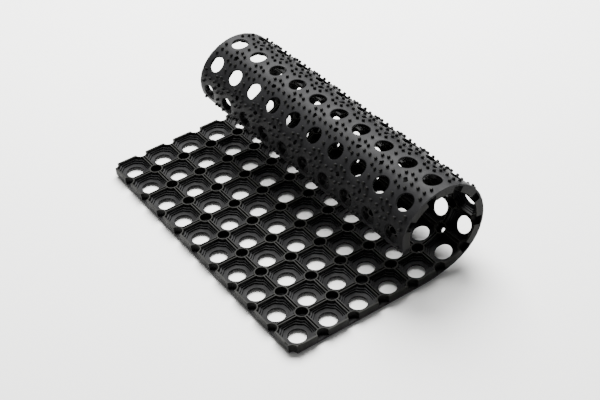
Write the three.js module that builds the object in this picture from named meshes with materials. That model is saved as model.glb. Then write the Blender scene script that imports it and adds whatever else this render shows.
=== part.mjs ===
// Rubber entrance mat, moulded in one piece: a square grid of open cups over a studded underside,
// lying flat at one end and rolled up over itself at the other.
// Millimetres, +Z up. X runs along the mat from its flat end, Y across it from the near edge.

import * as THREE from 'three';

const { degToRad, lerp } = THREE.MathUtils;

// The grid of cells
const CELL_PITCH = 50;
const CELLS_LONG = 12;
const CELLS_WIDE = 10;

// The section, from the tread face down
const THICKNESS = 16; // tread face to stud tips
const STUD_HEIGHT = 3.5; // the studs fill the lowest part of the thickness
const WELL_FLOOR = 3; // rubber left under each well, above the studs

// A cup, one in each cell, narrowing to a hole that goes right through
const RIDGE_WIDTH = 6; // between two neighbouring cups
const WELL_RIM = 2.2; // between a well and the cut-back corner of a cup
const MOUTH_ARC_SEGMENTS = 2;
const HOLE_RADIUS = 13;
const HOLE_FACETS = 8;

// A well, one at each crossing of the ridges, drained through its floor
const WELL_RADIUS = 8.5;
const WELL_FACETS = 8;
const DRAIN_RADIUS = 3.8;
const DRAIN_FACETS = 4;

// The roll, where a near and a far value are those of the mat's two long edges
const FLAT_NEAR = 215;
const FLAT_FAR = 205;
const LIFT_LENGTH = 60; // first gentle bend off the floor
const LIFT_TURN = 18.5; // degrees
const TIP_LENGTH = 61; // last tighter bend at the free end
const TIP_TURN = 63; // degrees
const OPEN_NEAR = 69.5; // degrees that the roll lacks to a full turn
const OPEN_FAR = 62.5; // degrees

const LENGTH = CELLS_LONG * CELL_PITCH;
const WIDTH = CELLS_WIDE * CELL_PITCH;
const BODY_THICKNESS = THICKNESS - STUD_HEIGHT;
const WELL_DEPTH = BODY_THICKNESS - WELL_FLOOR;
const FULL_TURN = 360; // degrees

// The rolled shape: each stretch is a length and the turn, in degrees, that it bends through
function stretchesAt(y) {
  const across = y / WIDTH;
  const flat = lerp(FLAT_NEAR, FLAT_FAR, across);
  const turn = FULL_TURN - lerp(OPEN_NEAR, OPEN_FAR, across);
  return [
    [flat, 0],
    [LIFT_LENGTH, LIFT_TURN],
    [LENGTH - flat - LIFT_LENGTH - TIP_LENGTH, turn - LIFT_TURN - TIP_TURN],
    [TIP_LENGTH, TIP_TURN],
  ];
}

// Where a point of the flat mat comes to lie, given its way along, its place across and its depth
// below the tread. The underside keeps its length, and the tread shortens on the inside of the roll.
function rolled(along, y, depth) {
  let x = 0;
  let z = STUD_HEIGHT;
  let heading = 0;
  let left = along;
  for (const [length, turn] of stretchesAt(y)) {
    const run = Math.min(left, length);
    const half = (degToRad(turn) * run) / length / 2;
    const chord = half ? (run * Math.sin(half)) / half : run;
    x += chord * Math.cos(heading + half);
    z += chord * Math.sin(heading + half);
    heading += 2 * half;
    left -= run;
  }
  const above = BODY_THICKNESS - depth;
  return [x - above * Math.sin(heading), y, z + above * Math.cos(heading)];
}

// The surface, as shared points and the triangles between them. Two points of the flat mat that are
// the same to a micrometre are one.
const MICROMETRES = 1000; // in a millimetre
const points = [];
const triangles = [];
const pointNumbers = new Map();

function pointNumber([along, y, depth]) {
  const key = [along, y, depth].map((value) => Math.round(value * MICROMETRES)).join(' ');
  if (!pointNumbers.has(key)) {
    pointNumbers.set(key, pointNumbers.size);
    points.push(...rolled(along, y, depth));
  }
  return pointNumbers.get(key);
}

// Fills the band between two lists of points that run side by side. Each list has the progress of
// its points, and the one whose next point comes first moves on.
function stitch(first, firstProgress, second, secondProgress) {
  let i = 0;
  let j = 0;
  while (i < first.length - 1 || j < second.length - 1) {
    const canMoveFirst = i < first.length - 1;
    const canMoveSecond = j < second.length - 1;
    if (canMoveFirst && (!canMoveSecond || firstProgress[i + 1] <= secondProgress[j + 1])) {
      triangles.push(...[first[i], first[i + 1], second[j]].map(pointNumber));
      i += 1;
    } else {
      triangles.push(...[first[i], second[j + 1], second[j]].map(pointNumber));
      j += 1;
    }
  }
}

// Two closed loops round one centre, matched by their angle about it
function stitchLoops(first, second, [centreAlong, centreY]) {
  const angles = (loop) => loop.map(([along, y]) => Math.atan2(y - centreY, along - centreAlong));
  const close = (loop) => [...loop, loop[0]];
  const closeAngles = (list) => [...list, list[0] + 2 * Math.PI];
  stitch(close(first), closeAngles(angles(first)), close(second), closeAngles(angles(second)));
}

// Two arcs over the same quarter turn
function stitchArcs(first, second) {
  const steps = (arc) => arc.map((point, index) => index / (arc.length - 1));
  stitch(first, steps(first), second, steps(second));
}

// The part of a circle round a cell's corner that lies in the cell, less `trim` radians at both
// ends. The corners count up anticlockwise, seen from above, from the first column and row.
function cornerArc([column, row], corner, radius, segments, depth, trim = 0) {
  const along = (column + (corner === 1 || corner === 2)) * CELL_PITCH;
  const y = (row + (corner >= 2)) * CELL_PITCH;
  const arc = [];
  for (let step = 0; step <= segments; step += 1) {
    const turned = trim + (step / segments) * (Math.PI / 2 - 2 * trim);
    const angle = ((corner + 1) * Math.PI) / 2 - turned;
    arc.push([along + radius * Math.cos(angle), y + radius * Math.sin(angle), depth]);
  }
  return arc;
}

function isMatCorner([column, row], corner) {
  const node = [column + (corner === 1 || corner === 2), row + (corner >= 2)];
  return node[0] % CELLS_LONG === 0 && node[1] % CELLS_WIDE === 0;
}

function wellArc(cell, corner, depth) {
  return cornerArc(cell, corner, WELL_RADIUS, WELL_FACETS / 4, depth);
}

function drainArc(cell, corner, depth) {
  return cornerArc(cell, corner, DRAIN_RADIUS, DRAIN_FACETS / 4, depth);
}

// A cell's outline, cut back at its corners, with a point halfway along the sides that bend
function cellOutline(cell, cornerPoints, depth) {
  const middle = (cell[0] + 0.5) * CELL_PITCH;
  const near = cell[1] * CELL_PITCH;
  return [
    ...cornerPoints(0),
    [middle, near, depth],
    ...cornerPoints(1),
    ...cornerPoints(2),
    [middle, near + CELL_PITCH, depth],
    ...cornerPoints(3),
  ];
}

// The mouth of a cup: straight beside the ridges, cut back in an arc round each well
function cupMouth(cell) {
  const radius = WELL_RADIUS + WELL_RIM;
  const trim = Math.asin(RIDGE_WIDTH / 2 / radius);
  const corners = [0, 1, 2, 3];
  return corners.flatMap((corner) => cornerArc(cell, corner, radius, MOUTH_ARC_SEGMENTS, 0, trim));
}

// The hole at the foot of a cup, with its facets touching the true circle
function holeOutline([column, row]) {
  const radius = HOLE_RADIUS / Math.cos(Math.PI / HOLE_FACETS);
  const outline = [];
  for (let facet = 0; facet < HOLE_FACETS; facet += 1) {
    const angle = ((facet + 0.5) / HOLE_FACETS) * 2 * Math.PI - Math.PI;
    outline.push([
      (column + 0.5) * CELL_PITCH + radius * Math.cos(angle),
      (row + 0.5) * CELL_PITCH + radius * Math.sin(angle),
      THICKNESS,
    ]);
  }
  return outline;
}

// One cell: its tread, its cup, its underside and a quarter of the well at each corner.
// At the mat's own corners the well is a notch that goes right through.
function addCell(cell) {
  const centre = [(cell[0] + 0.5) * CELL_PITCH, (cell[1] + 0.5) * CELL_PITCH];
  const tread = cellOutline(cell, (corner) => wellArc(cell, corner, 0), 0);
  const footArc = (corner) =>
    isMatCorner(cell, corner) ? wellArc(cell, corner, THICKNESS) : drainArc(cell, corner, THICKNESS);
  const underside = cellOutline(cell, footArc, THICKNESS);
  const mouth = cupMouth(cell);
  const hole = holeOutline(cell);
  stitchLoops(tread, mouth, centre);
  stitchLoops(mouth, hole, centre);
  stitchLoops(hole, underside, centre);

  for (let corner = 0; corner < 4; corner += 1) {
    if (isMatCorner(cell, corner)) {
      stitchArcs(footArc(corner), wellArc(cell, corner, 0));
    } else {
      stitchArcs(footArc(corner), drainArc(cell, corner, WELL_DEPTH));
      stitchArcs(drainArc(cell, corner, WELL_DEPTH), wellArc(cell, corner, WELL_DEPTH));
      stitchArcs(wellArc(cell, corner, WELL_DEPTH), wellArc(cell, corner, 0));
    }
  }
}

// The cut face along one stretch of the mat's edge, given as pairs of way and depth. `place` puts
// such a pair on the edge, and `flip` turns the face to look out of the mat.
function addEdgeFace(outline, place, flip) {
  const contour = outline.map(([way, depth]) => new THREE.Vector2(way, depth));
  for (const face of THREE.ShapeUtils.triangulateShape(contour, [])) {
    const corners = face.map((index) => place(...outline[index])).map(pointNumber);
    triangles.push(...(flip ? corners.reverse() : corners));
  }
}

// The edge beside a node, from the node to `end`, as the half well leaves it
function edgeFromNode(start, end, atMatCorner) {
  const side = Math.sign(end - start);
  const wall = start + side * WELL_RADIUS;
  if (atMatCorner) {
    return [[wall, 0], [wall, THICKNESS]];
  }
  const drain = start + side * DRAIN_RADIUS;
  return [[wall, 0], [wall, WELL_DEPTH], [drain, WELL_DEPTH], [drain, THICKNESS]];
}

function addLongEdges(column) {
  const start = column * CELL_PITCH;
  const end = start + CELL_PITCH;
  const middle = start + CELL_PITCH / 2;
  const halfway = [[middle, THICKNESS], [middle, 0]];
  const startHalf = [...edgeFromNode(start, end, column === 0), ...halfway];
  const endHalf = [...edgeFromNode(end, start, column === CELLS_LONG - 1), ...halfway];
  for (const y of [0, WIDTH]) {
    const place = (way, depth) => [way, y, depth];
    addEdgeFace(startHalf, place, y === 0);
    addEdgeFace(endHalf, place, y === 0);
  }
}

function addShortEdges(row) {
  const start = row * CELL_PITCH;
  const end = start + CELL_PITCH;
  const outline = [
    ...edgeFromNode(start, end, row === 0),
    ...edgeFromNode(end, start, row === CELLS_WIDE - 1).reverse(),
  ];
  for (const along of [0, LENGTH]) {
    addEdgeFace(outline, (way, depth) => [along, way, depth], along !== 0);
  }
}

for (let column = 0; column < CELLS_LONG; column += 1) {
  for (let row = 0; row < CELLS_WIDE; row += 1) {
    addCell([column, row]);
  }
  addLongEdges(column);
}
for (let row = 0; row < CELLS_WIDE; row += 1) {
  addShortEdges(row);
}

const geometry = new THREE.BufferGeometry();
geometry.setAttribute('position', new THREE.Float32BufferAttribute(points, 3));
geometry.setIndex(triangles);
geometry.computeBoundingBox();
const centre = geometry.boundingBox.getCenter(new THREE.Vector3());
geometry.translate(-centre.x, -centre.y, -geometry.boundingBox.min.z);
geometry.computeVertexNormals();

const mat = new THREE.Mesh(
  geometry,
  new THREE.MeshStandardMaterial({ color: 0x232322, roughness: 0.62, metalness: 0 })
);
mat.name = 'rubber_mat';

const group = new THREE.Group();
group.add(mat);

export default group;
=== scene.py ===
from math import atan2, cos, hypot, pi, radians, sin, sqrt

import bmesh
import bpy
from mathutils import Matrix, Vector, noise


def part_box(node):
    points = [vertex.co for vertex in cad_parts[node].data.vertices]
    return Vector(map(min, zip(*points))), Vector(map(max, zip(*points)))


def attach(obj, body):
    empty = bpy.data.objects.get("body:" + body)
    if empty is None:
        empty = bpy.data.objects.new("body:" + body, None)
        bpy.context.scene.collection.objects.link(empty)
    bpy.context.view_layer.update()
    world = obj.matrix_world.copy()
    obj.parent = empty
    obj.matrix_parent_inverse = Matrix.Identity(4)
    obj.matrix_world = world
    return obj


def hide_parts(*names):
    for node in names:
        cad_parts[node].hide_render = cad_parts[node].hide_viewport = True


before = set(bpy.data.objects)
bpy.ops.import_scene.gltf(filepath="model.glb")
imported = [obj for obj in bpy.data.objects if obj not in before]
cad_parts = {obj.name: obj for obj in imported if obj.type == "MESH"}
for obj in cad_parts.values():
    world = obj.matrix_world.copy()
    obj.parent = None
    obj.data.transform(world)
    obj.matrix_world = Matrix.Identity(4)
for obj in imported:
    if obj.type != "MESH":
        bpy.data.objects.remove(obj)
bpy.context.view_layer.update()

MM = 0.001


# The camera
# It stands well off the mat's near corner, at chest height, with a short telephoto lens, and looks
# down on the roll's near end.
CAMERA_PLACE = (-0.7092, -1.1997, 1.165)
CAMERA_LENS = 73.12
CAMERA_DOWN = radians(39.42)
CAMERA_TURN = radians(-31.32)
CAMERA_ROLL = radians(-4.94)

camera = bpy.data.objects.new("camera", bpy.data.cameras.new("camera"))
camera.data.lens = CAMERA_LENS
camera.data.sensor_width = 36
turned = Matrix.Rotation(CAMERA_TURN, 4, "Z") @ Matrix.Rotation(pi / 2 - CAMERA_DOWN, 4, "X")
camera.matrix_world = Matrix.Translation(CAMERA_PLACE) @ turned @ Matrix.Rotation(CAMERA_ROLL, 4, "Z")
bpy.context.scene.collection.objects.link(camera)
bpy.context.scene.camera = camera


# The mat's rubber
# Rubber filled with carbon black, pressed in a hot mould and left as it comes out: deep black in
# the cups, with a dull skin, a painted highlight in a lighter grey on the tops of the lips and rings
# and the tips of the studs, and a pale dusty bloom, stronger in patches, on the underside.
RUBBER = "#050506"
# The lighter grey painted on as a highlight on the tops of the lips and rings and the tips of the studs
HIGHLIGHT_RUBBER = "#141411"
BLOOM_RUBBER = "#1b1b1c"
BLOOM_PATCH = 60 * MM
DULL_PATCH = 14 * MM
GRAIN = 0.9 * MM
GRAIN_HEIGHT = 0.15 * MM


def linear(colour):
    """An sRGB hex colour as linear RGBA."""
    shares = [int(colour[place:place + 2], 16) / 255 for place in (1, 3, 5)]
    shares = [share / 12.92 if share <= 0.04045 else ((share + 0.055) / 1.055) ** 2.4
              for share in shares]
    return (*shares, 1)


def add_node(material, kind, inputs=(), links=(), **settings):
    """Adds a node, sets its properties and input values, and links outputs into its inputs."""
    node = material.node_tree.nodes.new(kind)
    for name, value in settings.items():
        setattr(node, name, value)
    for name, value in dict(inputs).items():
        node.inputs[name].default_value = value
    for name, output in dict(links).items():
        material.node_tree.links.new(output, node.inputs[name])
    return node


def moulded_rubber():
    """The material of both the body and the studs."""
    material = bpy.data.materials.new("moulded_black_rubber")
    material.use_nodes = True
    shader = material.node_tree.nodes["Principled BSDF"]
    shader.inputs["IOR"].default_value = 1.52
    shader.inputs["Specular IOR Level"].default_value = 0.075
    place = add_node(material, "ShaderNodeTexCoord").outputs["Object"]
    patches = add_node(material, "ShaderNodeTexNoise", {"Scale": 1 / BLOOM_PATCH, "Detail": 4},
                       {"Vector": place})
    bloom = add_node(material, "ShaderNodeAttribute", attribute_name="bloom").outputs["Fac"]
    painted_highlight = add_node(material, "ShaderNodeAttribute", attribute_name="painted_highlight").outputs["Fac"]
    unevenness = add_node(material, "ShaderNodeMapRange",
                          {"From Min": 0.3, "From Max": 0.7, "To Min": 0.6, "To Max": 1.0},
                          {"Value": patches.outputs["Fac"]})
    dust = add_node(material, "ShaderNodeMath", (), {0: bloom, 1: unevenness.outputs["Result"]},
                    operation="MULTIPLY")
    rubber = add_node(material, "ShaderNodeMix", {"A": linear(RUBBER), "B": linear(BLOOM_RUBBER)},
                      {"Factor": dust.outputs["Value"]}, data_type="RGBA")
    # Painted highlight: the lighter grey mixed in on the lips, rings and stud tips
    highlighted = add_node(material, "ShaderNodeMix", {"B": linear(HIGHLIGHT_RUBBER)},
                    {"Factor": painted_highlight, "A": rubber.outputs["Result"]}, data_type="RGBA")
    grain = add_node(material, "ShaderNodeTexNoise", {"Scale": 1 / GRAIN, "Detail": 3},
                     {"Vector": place})
    waves = add_node(material, "ShaderNodeTexNoise", {"Scale": 1 / DULL_PATCH, "Detail": 2},
                     {"Vector": place})
    dullness = add_node(material, "ShaderNodeMapRange", {"To Min": 0.42, "To Max": 0.66},
                        {"Value": waves.outputs["Fac"]})
    relief = add_node(material, "ShaderNodeBump", {"Strength": 0.35, "Distance": GRAIN_HEIGHT},
                      {"Height": grain.outputs["Fac"]})
    links = material.node_tree.links
    links.new(highlighted.outputs["Result"], shader.inputs["Base Color"])
    links.new(dullness.outputs["Result"], shader.inputs["Roughness"])
    links.new(relief.outputs["Normal"], shader.inputs["Normal"])
    return material


rubber_finish = moulded_rubber()


# The moulded body
# One moulding: cups with three ledges that narrow to round holes, two lips with a groove between
# them from cup to cup, and a ringed well with a drain wherever four cups meet.
CELL_PITCH = 50 * MM
CELLS_LONG = 12
CELLS_WIDE = 10
BODY_THICKNESS = 12.5 * MM
STUD_HEIGHT = 3.5 * MM
MAT_LENGTH = CELLS_LONG * CELL_PITCH
MAT_WIDTH = CELLS_WIDE * CELL_PITCH
HALF_CELL = CELL_PITCH / 2

LIP_EDGE = 2.9 * MM
LIP_ROUNDING = 0.4 * MM
GROOVE_HALF_WIDTH = 1.25 * MM
GROOVE_DEPTH = 5 * MM
WELL_RADIUS = 8.5 * MM
RING_RADIUS = 10.3 * MM
RING_ROUNDING = 0.4 * MM
WELL_DEPTH = 9.5 * MM
WELL_FLOOR_RADIUS = WELL_RADIUS - 0.3 * MM
DRAIN_RADIUS = 3.8 * MM
SIDE_STATIONS = 2
CORNER_STATIONS = 3
WELL_STATIONS = 3

# Outlines of a cup from its mouth down: the distance of the straight sides from the cell's
# centre, the radius of the corners about the wells, how far the outline is round, and the depth
CUP_LEDGES = (
    (22.1, 10.7, 0.0, 0.4),
    (21.6, 11.5, 0.0, 4.1),
    (20.6, 13.4, 0.2, 4.4),
    (20.2, 13.8, 0.2, 6.7),
    (19.2, 15.8, 0.5, 7.0),
    (18.8, 16.2, 0.5, 9.1),
    (17.6, 18.0, 0.9, 9.3),
)
# Below them the cup is round: radius and depth
CUP_BOWL = (
    (16.4, 9.6),
    (14.8, 9.9),
    (13.4, 10.1),
    (13.0, 10.5),
    (12.9, 11.9),
    (13.5, 12.3),
    (14.3, 12.5),
)

# The roll, where a near and a far value are those of the mat's two long edges
FLAT_NEAR = 215 * MM
FLAT_FAR = 205 * MM
LIFT_LENGTH = 60 * MM
LIFT_TURN = radians(18.5)
TIP_LENGTH = 61 * MM
TIP_TURN = radians(63)
TURN_NEAR = radians(360 - 69.5)
TURN_FAR = radians(360 - 62.5)
# Soft rubber doesn't roll up quite evenly: waves that fade in over the first cell of the roll
WAVE_HEIGHT = 1.2 * MM
WAVE_LENGTH = 70 * MM

mat_low = Vector(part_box("rubber_mat")[0])


def rolled(flat):
    """Where a point of the flat mat lies in the roll. Its z is minus the depth below the tread.
    The underside keeps its length, and the tread shortens on the inside of the roll."""
    across = flat.y / MAT_WIDTH
    flat_length = FLAT_NEAR + (FLAT_FAR - FLAT_NEAR) * across
    turn = TURN_NEAR + (TURN_FAR - TURN_NEAR) * across
    stretches = (
        (flat_length, 0),
        (LIFT_LENGTH, LIFT_TURN),
        (MAT_LENGTH - flat_length - LIFT_LENGTH - TIP_LENGTH, turn - LIFT_TURN - TIP_TURN),
        (TIP_LENGTH, TIP_TURN),
    )
    x, z, heading, left = mat_low.x, mat_low.z + STUD_HEIGHT, 0, flat.x
    for length, bend in stretches:
        run = min(left, length)
        half = bend * run / length / 2
        chord = run * sin(half) / half if half else run
        x += chord * cos(heading + half)
        z += chord * sin(heading + half)
        heading += 2 * half
        left -= run
    lifted = min(max(flat.x - flat_length - LIFT_LENGTH, 0) / CELL_PITCH, 1)
    wave = WAVE_HEIGHT * lifted * noise.noise((flat.x / WAVE_LENGTH, flat.y / WAVE_LENGTH, 0.5))
    above = BODY_THICKNESS + flat.z + wave
    return Vector((x - above * sin(heading), mat_low.y + flat.y, z + above * cos(heading)))


def quarter(points):
    """The points of an outline's first eighth, from a side's middle to the diagonal, and their
    mirror images after it. They count from a crossing of the ridges, and the result from the
    cell's centre."""
    mirrored = [(v, u) for u, v in reversed(points[:-1])]
    return [(u - HALF_CELL, v - HALF_CELL) for u, v in [*points, *mirrored]]


def arc(radius, start, end, steps):
    """Points of an arc about a crossing of the ridges."""
    angles = [start + (end - start) * step / steps for step in range(steps + 1)]
    return [(radius * cos(angle), radius * sin(angle)) for angle in angles]


def cup_outline(side, corner, roundness=0):
    """A cup's outline with straight sides and hollow corners about the wells, or partly round."""
    inset = HALF_CELL - side
    turn = sqrt(corner ** 2 - inset ** 2)
    straight = [(HALF_CELL + (turn - HALF_CELL) * step / SIDE_STATIONS, inset)
                for step in range(SIDE_STATIONS)]
    eighth = []
    for u, v in straight + arc(corner, atan2(inset, turn), pi / 4, CORNER_STATIONS):
        across, down = HALF_CELL - u, HALF_CELL - v
        to_round = 1 + roundness * (side / hypot(across, down) - 1)
        eighth.append((HALF_CELL - across * to_round, HALF_CELL - down * to_round))
    return quarter(eighth)


def round_outline(radius):
    """A cup's outline where it is round."""
    steps = SIDE_STATIONS + CORNER_STATIONS
    angles = [pi / 4 * step / steps for step in range(steps + 1)]
    return quarter([(HALF_CELL - radius * sin(angle), HALF_CELL - radius * cos(angle))
                    for angle in angles])


def well_outline(radius):
    """The quarter of a well or a drain that lies in a cell."""
    return quarter(arc(radius, 0, pi / 4, WELL_STATIONS))


cell = bmesh.new()
station = cell.verts.layers.int.new("station")


def row_of_edges(outline, depth):
    """A row of vertices along an outline, joined by edges."""
    row = [cell.verts.new((x, y, -depth)) for x, y in outline]
    for number, vert in enumerate(row):
        vert[station] = number
    return [cell.edges.new(pair) for pair in zip(row, row[1:])]


def extrude_to(edges, outline, depth):
    """Extrudes a row of edges onto another outline with as many points."""
    made = bmesh.ops.extrude_edge_only(cell, edges=edges)["geom"]
    row = {vert for vert in made if isinstance(vert, bmesh.types.BMVert)}
    for vert in row:
        vert.co = (*outline[vert[station]], -depth)
    return [edge for edge in made if isinstance(edge, bmesh.types.BMEdge) and row.issuperset(edge.verts)]


def flat_face(outline, depth):
    """One flat face of the tread or the underside."""
    cell.faces.new([cell.verts.new((x, y, -depth)) for x, y in outline])


# The cup
mouth = cup_outline(HALF_CELL - LIP_EDGE + LIP_ROUNDING, RING_RADIUS)
rim = row_of_edges(mouth, 0)
for side, corner, roundness, depth in CUP_LEDGES:
    rim = extrude_to(rim, cup_outline(side * MM, corner * MM, roundness), depth * MM)
for radius, depth in CUP_BOWL:
    rim = extrude_to(rim, round_outline(radius * MM), depth * MM)
hole = round_outline(CUP_BOWL[-1][0] * MM)

# The well and its drain
well_mouth = well_outline(WELL_RADIUS + RING_ROUNDING)
rim = row_of_edges(well_mouth, 0)
rim = extrude_to(rim, well_outline(WELL_RADIUS), RING_ROUNDING)
rim = extrude_to(rim, well_outline(WELL_FLOOR_RADIUS), WELL_DEPTH)
drain = well_outline(DRAIN_RADIUS)
rim = extrude_to(rim, drain, WELL_DEPTH)
extrude_to(rim, drain, BODY_THICKNESS)

# The groove between two lips, from the ring round the well to the middle of the cell's side
ring_end = sqrt(RING_RADIUS ** 2 - GROOVE_HALF_WIDTH ** 2)
groove_middle = (ring_end + HALF_CELL) / 2
groove_edge = [(along, GROOVE_HALF_WIDTH) for along in (ring_end, groove_middle, HALF_CELL)]
groove_centre = [(along, 0) for along in (RING_RADIUS, groove_middle, HALF_CELL)]


def from_centre(points, swap):
    """Points counted from a crossing of the ridges, counted from the cell's centre instead."""
    return [((v, u) if swap else (u, v)) for u, v in [(u - HALF_CELL, v - HALF_CELL) for u, v in points]]


for swap in (False, True):
    edge = from_centre([groove_centre[0], *groove_edge], swap)
    extrude_to(row_of_edges(edge, 0), edge, GROOVE_DEPTH)
    floor_edge = from_centre(groove_edge, swap)
    extrude_to(row_of_edges(floor_edge, GROOVE_DEPTH), from_centre(groove_centre, swap), GROOVE_DEPTH)

# The lips and the ring, one flat face, and the underside round the hole, another
near_side = from_centre([groove_centre[0], *groove_edge], False)
left_side = from_centre([groove_centre[0], *groove_edge], True)
flat_face([*near_side, *mouth, *reversed(left_side), *reversed(well_mouth)], 0)
under_middle = (DRAIN_RADIUS + HALF_CELL) / 2
near_side = from_centre([(under_middle, 0), (HALF_CELL, 0)], False)
left_side = from_centre([(under_middle, 0), (HALF_CELL, 0)], True)
flat_face([*drain, *left_side, *reversed(hole), *reversed(near_side)], BODY_THICKNESS)

bmesh.ops.triangulate(cell, faces=[face for face in cell.faces if len(face.verts) > 4])
MERGE = 0.01 * MM
bmesh.ops.remove_doubles(cell, verts=cell.verts, dist=MERGE)
for axis in "XY":
    bmesh.ops.mirror(cell, geom=[*cell.verts, *cell.edges, *cell.faces], axis=axis, merge_dist=MERGE)
    bmesh.ops.remove_doubles(cell, verts=cell.verts, dist=MERGE)
bmesh.ops.translate(cell, verts=cell.verts, vec=(HALF_CELL, HALF_CELL, 0))


def repeat(mesh, count, step):
    """Copies the whole mesh in a row."""
    first = [*mesh.verts, *mesh.edges, *mesh.faces]
    for number in range(1, count):
        made = bmesh.ops.duplicate(mesh, geom=first)["geom"]
        copied = [vert for vert in made if isinstance(vert, bmesh.types.BMVert)]
        bmesh.ops.translate(mesh, verts=copied, vec=Vector(step) * number)


repeat(cell, CELLS_LONG, (CELL_PITCH, 0, 0))
repeat(cell, CELLS_WIDE, (0, CELL_PITCH, 0))
bmesh.ops.remove_doubles(cell, verts=cell.verts, dist=MERGE)

# The mat's edges: no groove, and the wells at the four corners are notches that go right through
EDGE_LIP = GROOVE_HALF_WIDTH + MERGE
for vert in cell.verts:
    x, y, z = vert.co
    to_edge = Vector((min(x, MAT_LENGTH - x), min(y, MAT_WIDTH - y)))
    on_groove_floor = abs(z + GROOVE_DEPTH) < MERGE
    if on_groove_floor and min(to_edge) < EDGE_LIP and max(to_edge) > RING_RADIUS - MERGE:
        vert.co.z = 0
    if to_edge.length < DRAIN_RADIUS + MERGE:
        corner = Vector((MAT_LENGTH * (x > MAT_LENGTH / 2), MAT_WIDTH * (y > MAT_WIDTH / 2)))
        vert.co.xy = corner + (vert.co.xy - corner) * WELL_FLOOR_RADIUS / DRAIN_RADIUS
bmesh.ops.remove_doubles(cell, verts=cell.verts, dist=MERGE)
bmesh.ops.dissolve_degenerate(cell, edges=cell.edges, dist=MERGE / 10)

# Flash from the mould leaves no drain quite round, and all but closes those on the edges
DRAIN_UNEVENNESS = 0.6
EDGE_DRAIN_SHARE = 0.12
for vert in cell.verts:
    crossing = Vector((round(vert.co.x / CELL_PITCH), round(vert.co.y / CELL_PITCH))) * CELL_PITCH
    out = vert.co.xy - crossing
    if 0 < out.length < DRAIN_RADIUS + MERGE:
        side = out.normalized()
        swell = noise.noise((side.x + crossing.x / MM, side.y + crossing.y / MM, 0.4))
        past_edge = max(crossing.x - MAT_LENGTH, crossing.y - MAT_WIDTH, -crossing.x, -crossing.y)
        on_edge = past_edge > -MERGE
        vert.co.xy = crossing + out * (EDGE_DRAIN_SHARE if on_edge else 1 + DRAIN_UNEVENNESS * swell)


def on_plane(edge, axis, place):
    """Whether an edge lies in the plane across an axis at a place on it."""
    return all(abs(vert.co[axis] - place) < MERGE for vert in edge.verts)


for axis, size in ((0, MAT_LENGTH), (1, MAT_WIDTH)):
    for place in (0, size):
        cut = [edge for edge in cell.edges if edge.is_boundary and on_plane(edge, axis, place)]
        bmesh.ops.edgeloop_fill(cell, edges=cut)
bmesh.ops.triangulate(cell, faces=[face for face in cell.faces if len(face.verts) > 4])
bmesh.ops.recalc_face_normals(cell, faces=cell.faces)

# Painted highlight on the lips and rings and, less, on their rounded edges, and bloom on the underside
painted_highlight = cell.verts.layers.float.new("painted_highlight")
bloom = cell.verts.layers.float.new("bloom")
for vert in cell.verts:
    depth = -vert.co.z
    vert[painted_highlight] = 1.0 if depth < MERGE else 0.5 if depth < LIP_ROUNDING + MERGE else 0.0
    vert[bloom] = 1.0 if depth > BODY_THICKNESS - MERGE else 0.0
for vert in cell.verts:
    vert.co = rolled(vert.co)


def finished(mesh, name, sharp):
    """The mesh as a piece of the mat, shaded smooth up to an angle in degrees."""
    data = bpy.data.meshes.new(name)
    mesh.to_mesh(data)
    mesh.free()
    data.shade_smooth()
    data.set_sharp_from_angle(angle=radians(sharp))
    data.materials.append(rubber_finish)
    piece = bpy.data.objects.new(name, data)
    bpy.context.scene.collection.objects.link(piece)
    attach(piece, "root")
    return piece


BODY_SHARP = 28
body = finished(cell, "rubber_body", BODY_SHARP)
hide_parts("rubber_mat")


# The studs
# Part of the same moulding: short pegs under the body that keep it off the floor. Three stand on
# each side of a cell and four round each drain.
STUD_BASE = 2.5 * MM
STUD_TIP = 2.1 * MM
STUD_SUNK = 0.3 * MM
STUD_ROUNDING = 0.6 * MM
STUD_FACETS = 10
STUD_SHARP = 35
DRAIN_STUD_OFFSET = 9.7 * MM
STUD_DRIFT = 0.5 * MM
DRIFT_CHANGE = 7.3 / CELL_PITCH
DRIFT_SEED = 1

noise.seed_set(DRIFT_SEED)
stud_places = []
for column in range(CELLS_LONG + 1):
    for row in range(CELLS_WIDE + 1):
        crossing = Vector((column * CELL_PITCH, row * CELL_PITCH, 0))
        for share in (0.25, 0.5, 0.75):
            stud_places.append(crossing + Vector((share * CELL_PITCH, 0, 0)))
            stud_places.append(crossing + Vector((0, share * CELL_PITCH, 0)))
        for turn_x in (-DRAIN_STUD_OFFSET, DRAIN_STUD_OFFSET):
            for turn_y in (-DRAIN_STUD_OFFSET, DRAIN_STUD_OFFSET):
                stud_places.append(crossing + Vector((turn_x, turn_y, 0)))
stud_places = [place + Vector((*noise.noise_vector(place * DRIFT_CHANGE).xy, 0)) * STUD_DRIFT
               for place in stud_places
               if STUD_BASE < place.x < MAT_LENGTH - STUD_BASE
               and STUD_BASE < place.y < MAT_WIDTH - STUD_BASE]

studs = bmesh.new()
ring = bmesh.ops.create_circle(studs, segments=STUD_FACETS, radius=STUD_BASE)["verts"]
bmesh.ops.translate(studs, verts=ring, vec=(0, 0, -BODY_THICKNESS + STUD_SUNK))
edges = list(studs.edges)
tip = BODY_THICKNESS + STUD_HEIGHT
for radius, depth in ((STUD_TIP, tip - STUD_ROUNDING), (STUD_TIP - STUD_ROUNDING, tip)):
    made = bmesh.ops.extrude_edge_only(studs, edges=edges)["geom"]
    row = {vert for vert in made if isinstance(vert, bmesh.types.BMVert)}
    for vert in row:
        vert.co = (*(vert.co.xy.normalized() * radius), -depth)
    edges = [edge for edge in made
             if isinstance(edge, bmesh.types.BMEdge) and row.issuperset(edge.verts)]
bmesh.ops.edgeloop_fill(studs, edges=edges)
bmesh.ops.edgeloop_fill(studs, edges=[edge for edge in studs.edges if edge.is_boundary])
bmesh.ops.recalc_face_normals(studs, faces=studs.faces)
first = [*studs.verts, *studs.edges, *studs.faces]
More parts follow.
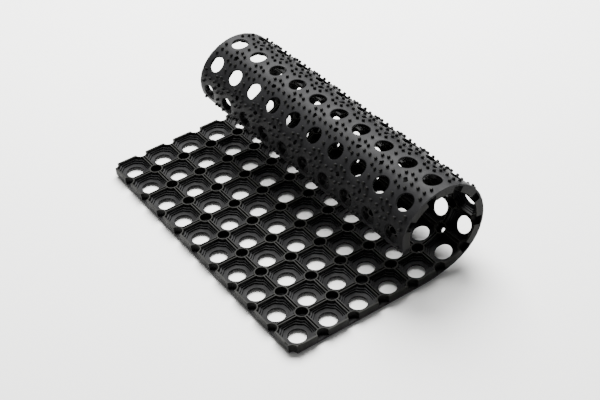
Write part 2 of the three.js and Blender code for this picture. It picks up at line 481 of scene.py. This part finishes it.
for place in stud_places[1:]:
    made = bmesh.ops.duplicate(studs, geom=first)["geom"]
    copied = [vert for vert in made if isinstance(vert, bmesh.types.BMVert)]
    bmesh.ops.translate(studs, verts=copied, vec=place)
original = [item for item in first if isinstance(item, bmesh.types.BMVert)]
bmesh.ops.translate(studs, verts=original, vec=stud_places[0])
bloom = studs.verts.layers.float.new("bloom")
painted_highlight = studs.verts.layers.float.new("painted_highlight")
for vert in studs.verts:
    vert[bloom] = 1.0
    # Painted highlight on the studs' tips
    vert[painted_highlight] = 1.0 if -vert.co.z > tip - MERGE else 0.0
    vert.co = rolled(vert.co)
finished(studs, "rubber_studs", STUD_SHARP)


# The floor and the light
# A plain white floor under soft studio light: a broad light high behind the roll, and an even glow
# from all round.
FLOOR = "#f4f4f2"
FLOOR_SIZE = 8
FLOOR_GAP = 0.1 * MM
GLOW = 0.3

floor_mesh = bmesh.new()
bmesh.ops.create_grid(floor_mesh, x_segments=1, y_segments=1, size=FLOOR_SIZE / 2)
floor_data = bpy.data.meshes.new("floor")
floor_mesh.to_mesh(floor_data)
floor_mesh.free()
floor_paint = bpy.data.materials.new("matt_white_floor")
floor_paint.use_nodes = True
floor_paint.node_tree.nodes["Principled BSDF"].inputs["Base Color"].default_value = linear(FLOOR)
floor_paint.node_tree.nodes["Principled BSDF"].inputs["Roughness"].default_value = 0.9
floor_data.materials.append(floor_paint)
floor = bpy.data.objects.new("floor", floor_data)
floor.location.z = mat_low.z - FLOOR_GAP
bpy.context.scene.collection.objects.link(floor)

world = bpy.data.worlds.new("studio")
world.use_nodes = True
world.node_tree.nodes["Background"].inputs["Color"].default_value = (1, 1, 1, 1)
world.node_tree.nodes["Background"].inputs["Strength"].default_value = GLOW
bpy.context.scene.world = world


def soft_light(name, place, target, size, power):
    """A square light with its middle at a place, turned to a target."""
    light = bpy.data.objects.new(name, bpy.data.lights.new(name, "AREA"))
    light.data.size = size
    light.data.energy = power
    light.location = place
    light.rotation_euler = (Vector(target) - Vector(place)).to_track_quat("-Z", "Y").to_euler()
    bpy.context.scene.collection.objects.link(light)


soft_light("overhead", (0.75, 1.0, 1.95), (0, 0, 0), 1.8, 310)
